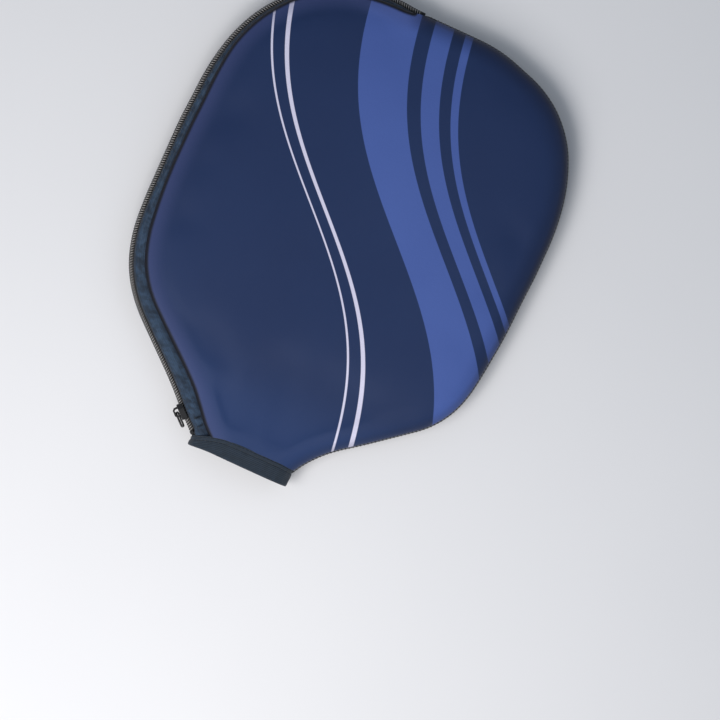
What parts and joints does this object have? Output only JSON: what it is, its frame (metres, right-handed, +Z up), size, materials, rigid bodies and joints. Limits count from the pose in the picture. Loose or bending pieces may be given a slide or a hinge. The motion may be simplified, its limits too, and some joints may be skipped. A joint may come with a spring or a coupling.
{
  "type": "paddle head cover",
  "caption": "Zip-round padded head cover for a short court paddle: teardrop pouch open at an elastic throat, with one leaf that folds back.",
  "frame": {"origin": "centre of the footprint, on the surface that the back panel lies on", "axes": "+Z up through the thickness, out of the front panel; +Y from the throat to the crown; +X towards the side seam, away from the zip"},
  "size_m": [0.2308, 0.2958, 0.025],
  "materials": {
    "printed_neoprene": "knit-faced neoprene, navy with printed bands",
    "plain_neoprene": "knit-faced neoprene, black",
    "overlock_thread": "overlocked edge, matt",
    "zip_tape": "woven polyester tape",
    "zip_coil": "smooth nylon coil",
    "dark_metal": "gunmetal, worn at the edges",
    "binding_tape": "ribbed bias tape",
    "elastic_webbing": "ribbed elastic"
  },
  "bodies": {
    "root": {"back_panel": "plain_neoprene", "front_panel_fixed": "printed_neoprene", "side_seam_binding": "overlock_thread", "back_zip_tape": "zip_tape", "back_zip_coil": "zip_coil", "zip_throat_stop_back": "dark_metal", "zip_crown_stop": "dark_metal", "inner_binding_back": "binding_tape", "throat_band_back": "elastic_webbing"},
    "front_leaf": {"front_panel_flap": "printed_neoprene", "front_zip_tape": "zip_tape", "front_zip_coil": "zip_coil", "zip_throat_stop_front": "dark_metal", "inner_binding_front": "binding_tape", "throat_band_front": "elastic_webbing"},
    "slider": {"slider_body": "dark_metal"},
    "pull": {"pull_loop": "dark_metal"}
  },
  "joints": [
    {"name": "leaf_open", "type": "hinge", "parent": "root", "child": "front_leaf", "pos_m": [0.02746, -0.13937, 0.025], "axis": [-0.1261, 0.992, 0], "range_deg": [0, 110]},
    {"name": "slider_travel", "type": "slide", "parent": "root", "child": "slider", "axis": [-0.7443, 0.6678, 0], "range_m": [-0.006, 0.055]},
    {"name": "pull_swing", "type": "hinge", "parent": "slider", "child": "pull", "pos_m": [-0.04499, -0.13494, 0.012], "axis": [-0.2284, -0.2546, -0.9397], "range_deg": [0, 170]}
  ]
}
